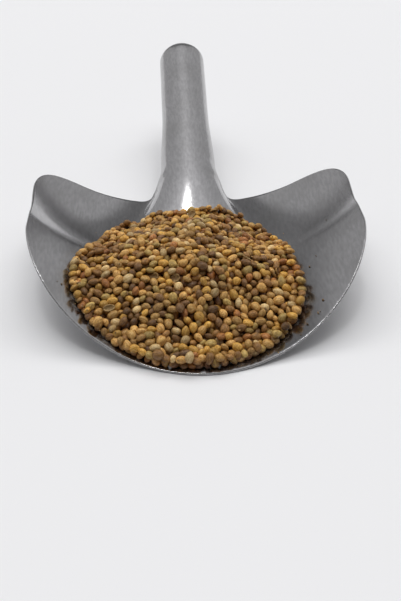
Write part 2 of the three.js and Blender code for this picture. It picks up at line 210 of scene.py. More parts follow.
# Colour of the painted shade that is multiplied into seeds and husks deep between the seeds.
SEED_PAINTED_SHADE = (0.42, 0.26, 0.14, 1)
SEED_TONE = (0.68, 1.34)
SEED_ROUGHNESS = (0.30, 0.45)
SEED_SHINE = 0.5

rng = np.random.default_rng(20611)


# ---------------------------------------------------------------- small helpers

def lerp(a, b, t):
    return a + (b - a) * t


def smooth(x, start, end):
    t = np.clip((x - start) / (end - start), 0, 1)
    return t * t * (3 - 2 * t)


def place(points):
    """Points in millimetres as points of the row frame, in metres."""
    return np.asarray(points, float) * MM + np.array([0, LIP_Y, 0])


# ---------------------------------------------------------------- outline of the pan

def lip_at(across):
    """Station of the lip at a place measured across the sheet."""
    rounded = np.hypot(across, LIP_TIP) - LIP_TIP
    share = np.clip(rounded / (math.hypot(PAN_HALF, LIP_TIP) - LIP_TIP), 0, 1)
    return LIP_LENGTH * (1 - (1 - share**LIP_POWER_ACROSS) ** (1 / LIP_POWER_ALONG))


def rear_at(across):
    """Station of the rear edge, with its rounded corners and its sweep into the neck."""
    place_out = np.abs(across)
    end = LIP_LENGTH + RIM_LENGTH
    inner = PAN_HALF - CORNER

    def edge(p):
        return end + REAR_BOW * (1 - (p / PAN_HALF) ** 2)

    t = 1 - np.sqrt(np.clip((PAN_HALF - place_out) / CORNER, 0, 1))
    corner = (1 - t) ** 2 * edge(inner) + 2 * t * (1 - t) * end + t**2 * (end - CORNER)
    rise = NECK_STATION - edge(NECK_HALF)
    sweep = edge(place_out) + rise * np.exp(-(place_out - NECK_HALF) / NECK_FILLET)
    rear = np.where(place_out > inner, corner, sweep)
    return np.where(place_out <= NECK_HALF, NECK_STATION, rear)


# ---------------------------------------------------------------- cross-sections

def handle_radius(station):
    flare = lerp(RIDGE_RADIUS, NECK_RADIUS, smooth(station, *FLARE))
    return flare + (GRIP_RADIUS - NECK_RADIUS) * smooth(station, FLARE[1], GRIP_FROM)


def ridge_height(station):
    """Height of the ridge's top above the floor."""
    run = RIDGE_END - RIDGE_START
    t = np.clip((station - RIDGE_START) / run, 0, 1)
    rise = RIDGE_HEIGHT * (10 * t**3 - 15 * t**4 + 6 * t**5)
    rise += HANDLE_SLOPE * run * (7 * t**4 - 4 * t**3 - 3 * t**5)
    return rise + HANDLE_SLOPE * np.maximum(station - RIDGE_END, 0)


def sheet_angle(across, station, strength):
    """Angle of the sheet to the horizontal."""
    change = smooth(station, *SECTION_CHANGE)
    roll = smooth(station, ROLL_FROM, ROLL_FULL)
    side = np.maximum(across - lerp(*FLAT_HALF, change), 0) / lerp(*SIDE_RADIUS, change)
    fade = np.exp(-((across / RIDGE_HALF_WIDTH) ** RIDGE_EDGE) * (1 - roll))
    return side * (1 - roll) - strength * (across / handle_radius(station)) * fade


def follow_sheet(across, station, strength):
    """The sheet's x and z at every step outwards from the middle line."""
    angle = sheet_angle(across[:, :-1] + TABLE_STEP / 2, station, strength)
    start = np.zeros((len(station), 1))
    x = np.hstack([start, np.cumsum(TABLE_STEP * np.cos(angle), axis=1)])
    z = np.hstack([start, np.cumsum(TABLE_STEP * np.sin(angle), axis=1)])
    return x, z


class Sections:
    """Tables of the cross-sections, by station and by place across the sheet."""

    def __init__(self):
        self.stations = np.arange(0, TABLE_STATIONS, TABLE_STEP)
        across = np.arange(0, TABLE_ACROSS, TABLE_STEP)[None, :]
        station = self.stations[:, None]
        strength = self.solve_strength(across, station)
        self.gain = 1 + REAR_GAIN * smooth(self.stations, *GAIN_CHANGE)
        self.x, self.z = follow_sheet(across, station, strength)
        self.angle = sheet_angle(across, station, strength)

    def solve_strength(self, across, station):
        """How strongly the sheet is bent, so that the ridge has its height."""
        measured = np.minimum(station, RIDGE_END)
        wanted = ridge_height(measured)
        inside = across[:, across[0] <= PAN_HALF]
        low, high = np.zeros_like(station), np.full_like(station, STRENGTH_LIMIT)
        for _ in range(HALVINGS):
            middle = (low + high) / 2
            depth = -follow_sheet(inside, measured, middle)[1].min(axis=1, keepdims=True)
            low = np.where(depth < wanted, middle, low)
            high = np.where(depth < wanted, high, middle)
        found = np.where(wanted > 0, high, 0)
        found = lerp(found, 1, smooth(station, RIDGE_END, ROLL_FULL))
        return np.where(station >= ROLL_FULL, 1, found)

    def read(self, table, across, station):
        """A table's value between its steps."""
        row = np.clip(station / TABLE_STEP, 0, table.shape[0] - 1.001)
        column = np.clip(np.abs(across) / TABLE_STEP, 0, table.shape[1] - 1.001)
        i, j = row.astype(int), column.astype(int)
        u, v = row - i, column - j
        near = lerp(table[i, j], table[i, j + 1], v)
        far = lerp(table[i + 1, j], table[i + 1, j + 1], v)
        return lerp(near, far, u)

    def gain_at(self, station):
        return np.interp(station, self.stations, self.gain)

    def points(self, across, station, depth):
        """Points of the sheet, on its upper face (depth 0) or below it."""
        angle = self.read(self.angle, across, station)
        x = self.read(self.x, across, station) + depth * np.sin(angle)
        z = self.read(self.z, across, station) - depth * np.cos(angle)
        tilt = math.atan(HANDLE_SLOPE) * smooth(station, *TILT)
        y = station - z * np.sin(tilt)
        height = SHEET + ridge_height(station) + z * np.cos(tilt)
        return np.stack([np.sign(across) * x, y, height], axis=-1)


sections = Sections()


# ---------------------------------------------------------------- the scoop

def pan_columns():
    """Places across the sheet, closer together beside the neck and at the rims."""
    middle = NECK_HALF * np.arange(RIDGE_COLUMNS + 1) / RIDGE_COLUMNS
    ease = (np.arange(1, SIDE_COLUMNS + 1) / SIDE_COLUMNS) ** COLUMN_EASE
    outer = PAN_HALF * np.sin(lerp(math.asin(NECK_HALF / PAN_HALF), math.pi / 2, ease))
    half = np.concatenate([middle, outer])
    return np.concatenate([-half[:0:-1], half])


def pan_grid(depth):
    columns = pan_columns()[None, :]
    t = np.linspace(0, 1, PAN_ROWS + 1)[:, None]
    station = lerp(lip_at(columns), rear_at(columns), t)
    return sections.points(columns * sections.gain_at(station), station, depth)


def neck_grid(depth):
    """The sheet from the pan's rear edge to where it is rolled shut."""
    share = np.linspace(-1, 1, 2 * RIDGE_COLUMNS + 1)[None, :]
    t = np.linspace(0, 1, NECK_ROWS + 1)[1:, None]
    station = lerp(NECK_STATION, ROLL_SHUT, t)
    half = lerp(NECK_HALF, math.pi * handle_radius(station), t)
    across = share * lerp(sections.gain_at(station), 1, t) * half
    return sections.points(across, station + 0 * share, depth)


def handle_grid(depth):
    """Rings of the tube, then of its rounded end."""
    turn = math.pi * np.linspace(-1, 1, 2 * RIDGE_COLUMNS + 1)[None, :]
    t = np.linspace(0, 1, HANDLE_ROWS + 1)[1:, None]
    bend = np.linspace(0, math.pi / 2, END_ROWS + 1)[1:, None]
    station = np.vstack([lerp(ROLL_SHUT, HANDLE_END, t), np.full_like(bend, HANDLE_END)])
    squeeze = np.vstack([np.ones_like(t), np.cos(bend)])
    push = np.vstack([np.zeros_like(t), np.sin(bend)]) * (END_LENGTH - depth)
    radius = handle_radius(station)
    inside = (radius - depth) * squeeze
    lift = inside * np.cos(turn) - radius
    tilt = math.atan(HANDLE_SLOPE)
    y = station - lift * math.sin(tilt) + push * math.cos(tilt)
    z = SHEET + ridge_height(station) + lift * math.cos(tilt) + push * math.sin(tilt)
    return np.stack([inside * np.sin(turn), y + 0 * turn, z + 0 * turn], axis=-1)


def grid_quads(ids):
    a, b, c, d = ids[:-1, :-1], ids[:-1, 1:], ids[1:, 1:], ids[1:, :-1]
    return np.stack([a, b, c, d], axis=-1).reshape(-1, 4)


def free_loop(quads):
    """The one loop of free edges, as numbers of points in order."""
    edges = {}
    for quad in quads.tolist():
        corners = [c for i, c in enumerate(quad) if c != quad[i - 1]]
        for i, here in enumerate(corners):
            before = corners[i - 1]
            if edges.pop((here, before), None) is None:
                edges[(before, here)] = True
    following = dict(edges.keys())
    start = next(iter(following))
    loop = [start]
    while following[loop[-1]] != start:
        loop.append(following[loop[-1]])
    if len(loop) != len(following):
        raise ValueError("the sheet has more than one free edge")
    return np.array(loop)


def make_scoop():
    """Both faces of the sheet, and a rounded rim along its free edge."""
    faces = [np.vstack([g.reshape(-1, 3) for g in (pan_grid(d), neck_grid(d), handle_grid(d))])
             for d in (0.0, SHEET)]
    width = 2 * RIDGE_COLUMNS + 1
    pan_width = 2 * (RIDGE_COLUMNS + SIDE_COLUMNS) + 1
    pan_ids = np.arange((PAN_ROWS + 1) * pan_width).reshape(PAN_ROWS + 1, pan_width)
    rows = NECK_ROWS + HANDLE_ROWS + END_ROWS
    tongue = pan_ids.size + np.arange(rows * width).reshape(rows, width)
    tongue[NECK_ROWS - 1:, -1] = tongue[NECK_ROWS - 1:, 0]
    tongue[-1] = tongue[-1, 0]
    tongue = np.vstack([pan_ids[-1, SIDE_COLUMNS:SIDE_COLUMNS + width], tongue])
    quads = np.vstack([grid_quads(pan_ids), grid_quads(tongue)])

    loop = free_loop(quads)
    upper, lower = faces[0][loop], faces[1][loop]
    middle = (upper + lower) / 2
    along = np.roll(middle, -1, axis=0) - np.roll(middle, 1, axis=0)
    out = np.cross(along, upper - lower)
    out /= np.linalg.norm(out, axis=1, keepdims=True)
    for face in faces:
        face[loop] -= RIM_INSET * out
    count = len(faces[0])
    rim = [middle + (upper - lower) * 0.5 * math.sin(math.radians(turn))
           + out * (RIM_BULGE * math.cos(math.radians(turn)) - RIM_INSET)
           for turn in RIM_TURNS]
    points = np.vstack(faces + rim)
    first = 2 * count + len(loop) * np.arange(len(rim))[:, None] + np.arange(len(loop))
    wall = np.vstack([loop, first, loop + count])
    wall = np.hstack([wall, wall[:, :1]])
    return points, [quads, quads[:, ::-1] + count, grid_quads(wall)[:, ::-1]]


# ---------------------------------------------------------------- the heap's surface

HEIGHT_X = np.arange(0, TABLE_WIDTH, TABLE_STEP)
PAN_HEIGHTS = SHEET + np.array([
    ridge_height(station) + np.interp(HEIGHT_X, x, z)
    for station, x, z in zip(sections.stations, sections.x, sections.z)
])


def pan_height(x, y):
    return sections.read(PAN_HEIGHTS, x, y)


def heap_reach(angle):
    """How far the heap reaches in a direction, by a smooth curve through the reaches."""
    count = len(HEAP_REACH)
    at = np.mod(angle / (2 * math.pi) * count, count)
    i = at.astype(int)
    t = at - i
    p, q, r, s = (HEAP_REACH[(i + k) % count] for k in (-1, 0, 1, 2))
    bend = 2 * p - 5 * q + 4 * r - s + t * (3 * (q - r) + s - p)
    return q + 0.5 * t * (r - p + t * bend)


def heap_height(x, y):
    dx, dy = x - HEAP_MIDDLE[0], y - HEAP_MIDDLE[1]
    angle = np.arctan2(dy, dx)
    reach = heap_reach(angle)
    share = np.minimum(np.hypot(dx, dy) / reach, 1)
    foot = pan_height(HEAP_MIDDLE[0] + reach * np.cos(angle),
                      HEAP_MIDDLE[1] + reach * np.sin(angle))

    def blunt(u):
        return np.hypot(u, HEAP_ROUNDING) - HEAP_ROUNDING

    wave = (np.sin(x * WAVE_TURNS["round"] + 1) * np.cos(y * WAVE_TURNS["along"])
            + np.sin(x * WAVE_TURNS["slant"] - y * WAVE_TURNS["back"]))
    drop = blunt(share) / blunt(1)
    return lerp(HEAP_TOP, foot, drop) + HEAP_WAVE * wave * (1 - share**4)


def slope_normal(height, x, y, step=1.0):
    normal = np.stack([height(x - step, y) - height(x + step, y),
                       height(x, y - step) - height(x, y + step),
                       np.full_like(x, 2 * step)], axis=-1)
    return normal / np.linalg.norm(normal, axis=-1, keepdims=True)


def make_core():
    """A closed core: its top follows the heap's surface and its floor follows the pan."""
    angle = np.linspace(0, 2 * math.pi, CORE_SPOKES, endpoint=False)
    share = np.linspace(0, 1, CORE_RINGS + 1)[1:, None]
    reach = share * CORE_SHRINK * heap_reach(angle)
    x = np.append(HEAP_MIDDLE[0], HEAP_MIDDLE[0] + reach * np.cos(angle))
    y = np.append(HEAP_MIDDLE[1], HEAP_MIDDLE[1] + reach * np.sin(angle))
    floor = pan_height(x, y) + CORE_GAP
    top = np.maximum(heap_height(x, y) - CORE_BELOW, floor + CORE_LEAST)
    points = np.vstack([np.stack([x, y, top], -1), np.stack([x, y, floor], -1)])
    ring = 1 + np.arange(CORE_RINGS * CORE_SPOKES).reshape(CORE_RINGS, CORE_SPOKES)
    ids = np.vstack([np.zeros(CORE_SPOKES, int), ring])
    ids = np.hstack([ids, ids[:, :1]])
    quads = grid_quads(ids)
    wall = grid_quads(np.vstack([ids[-1], ids[-1] + len(x)]))
    return points, [quads, quads[:, ::-1] + len(x), wall]


# ---------------------------------------------------------------- the seeds

def close_pairs(centres, limit):
    """Pairs of seeds whose middles are less than a distance apart."""
    order = np.argsort(centres[:, 0])
    ordered = centres[order]
    ends = np.searchsorted(ordered[:, 0], ordered[:, 0] + limit)
    first, second = [], []
    for i, end in enumerate(ends):
        apart = ordered[i + 1:end] - ordered[i]
        near = np.flatnonzero((apart**2).sum(axis=1) < limit**2)
        first.append(np.full(len(near), i))
        second.append(near + i + 1)
    return order[np.concatenate(first)], order[np.concatenate(second)]


def keep_in_heap(centres, radius):
    """Moves seeds back inside the outline, off the lip, and up off what is below them."""
    dx, dy = centres[:, 0] - HEAP_MIDDLE[0], centres[:, 1] - HEAP_MIDDLE[1]
    limit = heap_reach(np.arctan2(dy, dx)) - SEED_EDGE
    shrink = np.minimum(1, limit / np.maximum(np.hypot(dx, dy), 0.01))
    centres[:, 0] = HEAP_MIDDLE[0] + dx * shrink
    centres[:, 1] = HEAP_MIDDLE[1] + dy * shrink
    x = centres[:, 0]
    centres[:, 1] = np.maximum(centres[:, 1], lip_at(x) + LIP_MARGIN)
    y = centres[:, 1]
    floor = np.maximum(heap_height(x, y) - CORE_BELOW, pan_height(x, y))
    centres[:, 2] = np.maximum(centres[:, 2], floor + radius * SEED_SQUAT)


def settle(radius):
    """Middles of seeds that have come to rest on each other, as balls of equal room."""
    count = len(radius)
    angle = rng.uniform(0, 2 * math.pi, count)
    reach = np.sqrt(rng.random(count)) * heap_reach(angle)
    centres = np.stack([HEAP_MIDDLE[0] + reach * np.cos(angle),
                        HEAP_MIDDLE[1] + reach * np.sin(angle),
                        np.zeros(count)], axis=-1)
    x, y = centres[:, 0], centres[:, 1]
    centres[:, 2] = heap_height(x, y) - CORE_BELOW + rng.uniform(0, LAYER, count)
    keep_in_heap(centres, radius)
    squat = np.array([1, 1, SEED_SQUAT])
    for step in range(SETTLE_STEPS):
        if step % STEPS_A_SEARCH == 0:
            a, b = close_pairs(centres, NEIGHBOUR_REACH)
        centres[:, 2] -= FALL
        for _ in range(PUSHES_A_STEP):
            apart = (centres[a] - centres[b]) / squat
            distance = np.maximum(np.linalg.norm(apart, axis=1), 0.001)
            overlap = np.maximum(radius[a] + radius[b] - distance, 0)
            push = apart / distance[:, None] * (overlap * PUSH_SHARE)[:, None] * squat
            for axis in range(3):
                centres[:, axis] += np.bincount(a, push[:, axis], count)
                centres[:, axis] -= np.bincount(b, push[:, axis], count)
            keep_in_heap(centres, radius)
    return centres


def turns(normal, count):
    """A turn for each seed: lying along the surface, spun at random, tilted a little."""
    side = np.cross(normal, [0.0, 1.0, 0.1])
    side /= np.linalg.norm(side, axis=1, keepdims=True)
    base = np.stack([side, np.cross(normal, side), normal], axis=-1)
    spin, pitch, roll = (rng.uniform(0, 2 * math.pi, count),
                         rng.normal(0, SEED_TILTS[0], count), rng.normal(0, SEED_TILTS[1], count))
    one, none = np.ones(count), np.zeros(count)

    def matrix(rows):
        return np.moveaxis(np.array(rows), -1, 0)

    c, s = np.cos(spin), np.sin(spin)
    about_z = matrix([[c, -s, none], [s, c, none], [none, none, one]])
    c, s = np.cos(pitch), np.sin(pitch)
    about_y = matrix([[c, none, s], [none, one, none], [-s, none, c]])
    c, s = np.cos(roll), np.sin(roll)
    about_x = matrix([[one, none, none], [none, c, -s], [none, s, c]])
    return base @ about_z @ about_y @ about_x


def shape_of(polar, around, length, wall=0.0):
    """Points of seeds about their middles, at angles from the blunt end and about the axis:
    an ovoid along x with a keel round its edge, one pointed end, and uneven sides. A husk's
    inner face lies deeper by its wall."""
    count = len(length)
    half = length[:, None] / 2

    def each(low, high):
        return rng.uniform(low, high, (count, 1))

    wide = half * (each(*SEED_WIDTH_SHARE) - wall)
    thick = half * (each(*SEED_THICKNESS_SHARE) - wall)
    taper = 1 + each(*SEED_TAPER) * np.cos(polar)
    point = 1 + each(*SEED_POINT) * np.exp(-((polar - math.pi) / POINT_ANGLE) ** 2)
    dent = 1 - SEED_DENT * np.exp(-((polar / DENT_ANGLE) ** 2))
    keel = 1 + each(*SEED_KEEL) * np.abs(np.cos(around)) ** KEEL_POWER
    lumps = 1 + each(*SEED_LUMPS) * np.sin(2 * around + each(0, 6.3) + each(-2.0, 2.0) * polar)
    out = np.sin(polar) * taper * lumps
    x = half * (1 - wall) * np.cos(polar) * point * dent
    return np.stack([x, wide * out * np.cos(around) * keel, thick * out * np.sin(around)], axis=-1)


def seed_angles():
    polar = np.radians(np.concatenate([[0.0], np.repeat(SEED_RINGS, SEED_SIDES), [180.0]]))
    around = np.tile(np.arange(SEED_SIDES) * 2 * math.pi / SEED_SIDES, len(SEED_RINGS))
    return polar, np.concatenate([[0.0], around, [0.0]])


def seed_faces():
    ring = 1 + np.arange(len(SEED_RINGS) * SEED_SIDES).reshape(len(SEED_RINGS), SEED_SIDES)
    last = 1 + len(SEED_RINGS) * SEED_SIDES
    ids = np.vstack([np.zeros(SEED_SIDES, int), ring, np.full(SEED_SIDES, last)])
    return split(grid_quads(np.hstack([ids, ids[:, :1]])))


def husk_faces():
    """Outer face, inner face and the broken edge between them."""
    ids = np.arange(HUSK_RINGS * HUSK_COLUMNS).reshape(HUSK_RINGS, HUSK_COLUMNS)
    inner = ids + ids.size
    edge = np.concatenate([ids[0, :-1], ids[:-1, -1], ids[-1, :0:-1], ids[:0:-1, 0]])
    wall = np.vstack([edge, edge + ids.size])
    wall = np.hstack([wall, wall[:, :1]])
    return split(np.vstack([grid_quads(ids), grid_quads(inner)[:, ::-1], grid_quads(wall)[:, ::-1]]))


def split(quads):
    """Quads as triangles, without those that have no area."""
    tris = np.vstack([quads[:, [0, 1, 2]], quads[:, [0, 2, 3]]])
    a, b, c = tris.T
    return tris[(a != b) & (b != c) & (c != a)]


def above_pan(points):
    """Lifts each piece clear of the pan."""
    floor = pan_height(points[..., 0], np.maximum(points[..., 1], 0)) + PAN_CLEARANCE
    short = (floor - points[..., 2]).max(axis=1)
    points[..., 2] += np.maximum(short, 0)[:, None]
    return points


def laid(turn, shapes, centres):
    return above_pan(np.einsum("nij,nvj->nvi", turn, shapes) + centres[:, None, :])


class Heap:
    """The seeds where they have come to rest, and the husks among them."""

    def __init__(self):
        length = lerp(*SEED_LENGTH, rng.beta(*LENGTH_SPREAD, SEED_COUNT))
        centres = settle(SEED_ROUND * length)
        normal = slope_normal(heap_height, centres[:, 0], centres[:, 1])
        turn = turns(normal, SEED_COUNT)
        high = centres[:, 2] > heap_height(centres[:, 0], centres[:, 1]) - HUSK_DEPTH
        husk = high & (rng.random(SEED_COUNT) < HUSK_SHARE)
        self.place_seeds(length[~husk], turn[~husk], centres[~husk])
        self.place_husks(length[husk], turn[husk], centres[husk])
        self.map_tops()

    def place_seeds(self, length, turn, centres):
        polar, around = seed_angles()
        shapes = shape_of(polar, around, length)
        self.seeds = laid(turn, shapes, centres)
        self.seed_coat = shapes / (length[:, None, None] / 2)
        self.scar = np.exp(-((polar / SCAR_ANGLE) ** 2))
        self.seam = np.abs(np.cos(around)) ** SEAM_POWER * np.sin(polar)

    def place_husks(self, length, turn, centres):
        count = len(length)
        polar = np.repeat(np.radians(np.linspace(*HUSK_ENDS, HUSK_RINGS)), HUSK_COLUMNS)
        around = np.tile(np.linspace(0, math.pi, HUSK_COLUMNS), HUSK_RINGS)
        torn = HUSK_TEAR * np.sin(HUSK_TEETH * polar) * np.cos(around) ** 8
        sizes = rng.bit_generator.state
        outer = shape_of(polar, around + torn, length)
        rng.bit_generator.state = sizes
        inner = shape_of(polar, around + torn, length, HUSK_WALL)
        open_up = np.where(rng.random(count) < HUSKS_UPSIDE_DOWN, -1.0, 1.0)
        shapes = np.concatenate([outer, inner], axis=1)
        shapes[..., 1:] *= open_up[:, None, None]
        self.husks = laid(turn, shapes, centres)
        self.husk_coat = shapes / (length[:, None, None] / 2)
        self.hollow = np.repeat([0.0, 1.0], len(polar))

    def map_tops(self):
        """How high the seeds reach, on a grid of half millimetres."""
        self.tops = np.full(MAP_CELLS, -10.0)
        for pieces in (self.seeds, self.husks):
            points = pieces.reshape(-1, 3)
            np.maximum.at(self.tops, self.cell(points), points[:, 2])
        wide = self.tops.copy()
        for shift in (-3, -2, -1, 1, 2, 3):
            for axis in (0, 1):
                wide = np.maximum(wide, np.roll(self.tops, shift, axis))
        self.crest = wide

    def cell(self, points):
        x = np.clip((points[..., 0] - MAP_CORNER[0]) * MAP_SCALE, 0, MAP_CELLS[0] - 1).astype(int)
        y = np.clip((points[..., 1] - MAP_CORNER[1]) * MAP_SCALE, 0, MAP_CELLS[1] - 1).astype(int)
        return x, y

    def painted_shade(self, points):
        """Painted shade between the seeds: how deep points lie below the seeds' tops, from 0 at the
        top to 1.
        """
        return smooth(self.crest[self.cell(points)] - points[..., 2], *PAINTED_SHADE_DEPTH)


# ---------------------------------------------------------------- chaff

def crumb_shapes(length):
    """Jagged flakes about their middles: a lumpy octahedron for each."""
    count = len(length)
    corners = np.array([(1, 0, 0), (-1, 0, 0), (0, 1, 0), (0, -1, 0), (0, 0, 1), (0, 0, -1)], float)
    faces = np.array([(0, 2, 4), (2, 1, 4), (1, 3, 4), (3, 0, 4),
                      (2, 0, 5), (1, 2, 5), (3, 1, 5), (0, 3, 5)])
    for _ in range(2):
        middles = {}
        smaller = []
        for face in faces.tolist():
            mids = []
            for i, here in enumerate(face):
                pair = tuple(sorted((here, face[i - 1])))
                if pair not in middles:
                    middles[pair] = len(corners)
                    corners = np.vstack([corners, (corners[here] + corners[face[i - 1]]) / 2])
                mids.append(middles[pair])
            a, b, c = face
            ca, ab, bc = mids
            smaller += [(a, ab, ca), (b, bc, ab), (c, ca, bc), (ab, bc, ca)]
        faces = np.array(smaller)
    corners /= np.linalg.norm(corners, axis=1, keepdims=True)
    shares = np.stack([np.ones(count), rng.uniform(*CRUMB_WIDTH_SHARE, count),
                       rng.uniform(*CRUMB_THICKNESS_SHARE, count)], axis=-1)
    size = length[:, None] / 2 * shares
    rough = rng.uniform(*CRUMB_LUMPS, (count, len(corners), 1))
    return corners * rough * size[:, None, :], faces


def crumb_places(heap):
    """Where crumbs lie, their lengths and the way up: on the seeds and on the steel."""
    angle = rng.uniform(0, 2 * math.pi, CRUMB_COUNT)
    reach = np.sqrt(rng.random(CRUMB_COUNT)) * heap_reach(angle)
    near = rng.uniform(0, 2 * math.pi, SCATTER_OF_DUST)
    beyond = heap_reach(near) + rng.exponential(DUST_SPREAD, SCATTER_OF_DUST) - DUST_INWARDS
    loose = np.array(LOOSE_CRUMBS)
    x = np.concatenate([HEAP_MIDDLE[0] + reach * np.cos(angle),
                        HEAP_MIDDLE[0] + beyond * np.cos(near), loose[:, 0]])
    y = np.concatenate([HEAP_MIDDLE[1] + reach * np.sin(angle),
                        HEAP_MIDDLE[1] + beyond * np.sin(near), loose[:, 1]])
    length = np.concatenate([rng.uniform(*CRUMB_LENGTH, CRUMB_COUNT),
                             rng.uniform(*DUST_LENGTH, SCATTER_OF_DUST), loose[:, 2]])
    kept = y > lip_at(x) + 0.8
    x, y, length = x[kept], y[kept], length[kept]
    spots = np.stack([x, y, pan_height(x, y)], axis=-1)
    tops = heap.tops[heap.cell(spots)]
    on_seeds = tops > spots[:, 2] + 0.5
    spots[:, 2] = np.maximum(spots[:, 2], tops)
    normal = slope_normal(pan_height, x, np.maximum(y, 2.0))
    normal[on_seeds] = slope_normal(heap_height, x, y)[on_seeds]
    return spots, length, normal


# ---------------------------------------------------------------- materials

class Nodes:
    """Short ways to add nodes to a tree."""

    def __init__(self, tree):
        self.tree = tree

    def put(self, socket, value):
        if isinstance(value, bpy.types.NodeSocket):
            self.tree.links.new(value, socket)
        else:
            socket.default_value = value

    def node(self, kind, inputs=None, **settings):
        made = self.tree.nodes.new(f"ShaderNode{kind}")
        for key, value in settings.items():
            setattr(made, key, value)
        for key, value in (inputs or {}).items():
            self.put(made.inputs[key], value)
        return made

    def position(self):
        return self.node("TexCoord").outputs["Object"]

    def noise(self, scale, detail=3.0, vector=None, roughness=0.5):
        inputs = {"Vector": vector or self.position(), "Scale": scale, "Detail": detail,
                  "Roughness": roughness}
        return self.node("TexNoise", inputs).outputs["Fac"]

    def ranged(self, value, start, end, low, high):
        inputs = {"Value": value, "From Min": start, "From Max": end,
                  "To Min": low, "To Max": high}
        return self.node("MapRange", inputs, interpolation_type="SMOOTHSTEP").outputs[0]

    def attribute(self, name, output="Fac"):
        return self.node("Attribute", attribute_name=name).outputs[output]

    def scaled(self, vector, scale):
        return self.node("Mapping", {"Vector": vector, "Scale": scale}).outputs[0]

    def math(self, operation, *values):
        return self.node("Math", dict(enumerate(values)), operation=operation).outputs[0]

    def times(self, a, b):
        return self.math("MULTIPLY", a, b)

    def mixed(self, share, a, b, blend="MIX"):
        made = self.node("Mix", data_type="RGBA", blend_type=blend)
        for key, value in (("Factor", share), ("A", a), ("B", b)):
            socket = next(s for s in made.inputs
                          if s.name == key and s.type == ("VALUE" if key == "Factor" else "RGBA"))
            self.put(socket, value)
        return next(s for s in made.outputs if s.type == "RGBA")

    def bump(self, height, distance, strength=1.0, normal=None):
        inputs = {"Height": height, "Distance": distance, "Strength": strength}
        if normal is not None:
            inputs["Normal"] = normal
        return self.node("Bump", inputs).outputs[0]


class Look(Nodes):
    """A material."""

    def __init__(self, name):
        self.material = bpy.data.materials.new(name)
        self.material.use_nodes = True
        super().__init__(self.material.node_tree)
        self.shader = self.tree.nodes["Principled BSDF"]

    def set(self, **values):
        for key, value in values.items():
            self.put(self.shader.inputs[key.replace("_", " ")], value)


def steel_look():
    """Worn satin steel: brushed along its length, scratched, smudged, and dusty by the heap."""
    look = Look("worn_steel")
    brush = look.noise(900, 2.0, look.scaled(look.position(), (1.0, 0.25, 1.0)))
    grain = look.noise(1400, 2.0)
    smudge = look.noise(38, 4.0, roughness=0.6)
    patches = look.noise(16, 2.0)
    specks = look.ranged(look.noise(260, 4.0), 0.45, 0.7, 0.05, 0.7)
    dust = look.times(look.attribute("near_heap"), specks)
    bare = look.mixed(look.ranged(brush, 0.3, 0.7, 0.0, 1.0), STEEL_DULL, STEEL_BRIGHT)
    dulled = look.mixed(look.ranged(smudge, 0.45, 0.75, 0.0, 0.45), bare, STEEL_SMUDGE)
    look.set(Base_Color=look.mixed(dust, dulled, STEEL_DUST),
             Metallic=look.ranged(dust, 0.0, 1.0, 1.0, 0.35))
    rough = look.ranged(smudge, 0.3, 0.7, *STEEL_ROUGHNESS)
    rough = look.math("ADD", rough, look.ranged(patches, 0.35, 0.65, -0.03, 0.03))
    uneven = look.bump(look.noise(70, 2.0), 0.0002, 0.25)
    grained = look.bump(grain, 0.00001, 0.35, uneven)
    look.set(Roughness=rough, Normal=look.bump(brush, 0.00002, 0.25, grained))
    return look.material


def seed_look(name, pale, deep):
    """A seed's coat: streaked and netted between two colours, darker in the scar and along the
    seam, with painted shade multiplied in between the seeds."""
    look = Look(name)
    coat = look.attribute("coat", "Vector")
    streaks = look.noise(2.4, 4.0, look.scaled(coat, (0.7, 1.6, 1.6)), roughness=0.72)
    blots = look.noise(0.9, 2.0, coat)
    cells = look.node("TexVoronoi", {"Vector": coat, "Scale": 4.5}, feature="DISTANCE_TO_EDGE")
    net = cells.outputs["Distance"]
    tone = look.attribute("tone")
    colour = look.mixed(look.ranged(streaks, 0.38, 0.64, 0.0, 1.0), (*pale, 1), (*deep, 1))
    colour = look.mixed(look.ranged(blots, 0.5, 0.72, 0.0, 0.7), colour, (*deep, 1))
    colour = look.mixed(look.ranged(net, 0.0, 0.07, 0.35, 0.0), colour, SEED_VEIN)
    colour = look.mixed(look.times(look.attribute("seam"), 0.35), colour, SEED_VEIN)
    grey = look.node("CombineColor", {0: tone, 1: tone, 2: tone}).outputs[0]
    colour = look.mixed(1.0, colour, grey, "MULTIPLY")
    colour = look.mixed(look.times(look.attribute("scar"), 0.8), colour, SEED_SCAR)
    # Painted shade: deeper between the seeds, the coat is multiplied darker and browner.
    colour = look.mixed(look.attribute("painted_shade"), colour, SEED_PAINTED_SHADE, "MULTIPLY")
    netted = look.bump(net, 0.0002, 0.3)
    look.set(Base_Color=colour, Roughness=look.ranged(streaks, 0.3, 0.7, *SEED_ROUGHNESS),
             Specular_IOR_Level=SEED_SHINE, Normal=look.bump(streaks, 0.00025, 0.6, netted))
    return look.material


def husk_look():
    """A split husk: like a seed outside, paler and duller inside."""
    look = Look("husk")
    coat = look.attribute("coat", "Vector")
    streaks = look.noise(2.8, 4.0, look.scaled(coat, (0.7, 1.8, 1.8)), roughness=0.7)
    share = look.ranged(streaks, 0.36, 0.64, 0.0, 1.0)
    outside = look.mixed(share, *HUSK_OUTSIDE)
    inside = look.mixed(share, *HUSK_INSIDE)
    colour = look.mixed(look.attribute("hollow"), outside, inside)
    # Painted shade: deeper between the seeds, the husk is multiplied darker and browner.
    colour = look.mixed(look.attribute("painted_shade"), colour, SEED_PAINTED_SHADE, "MULTIPLY")
    look.set(Base_Color=colour, Roughness=look.ranged(streaks, 0.3, 0.7, 0.45, 0.65),
             Normal=look.bump(streaks, 0.0003, 0.6))
    return look.material


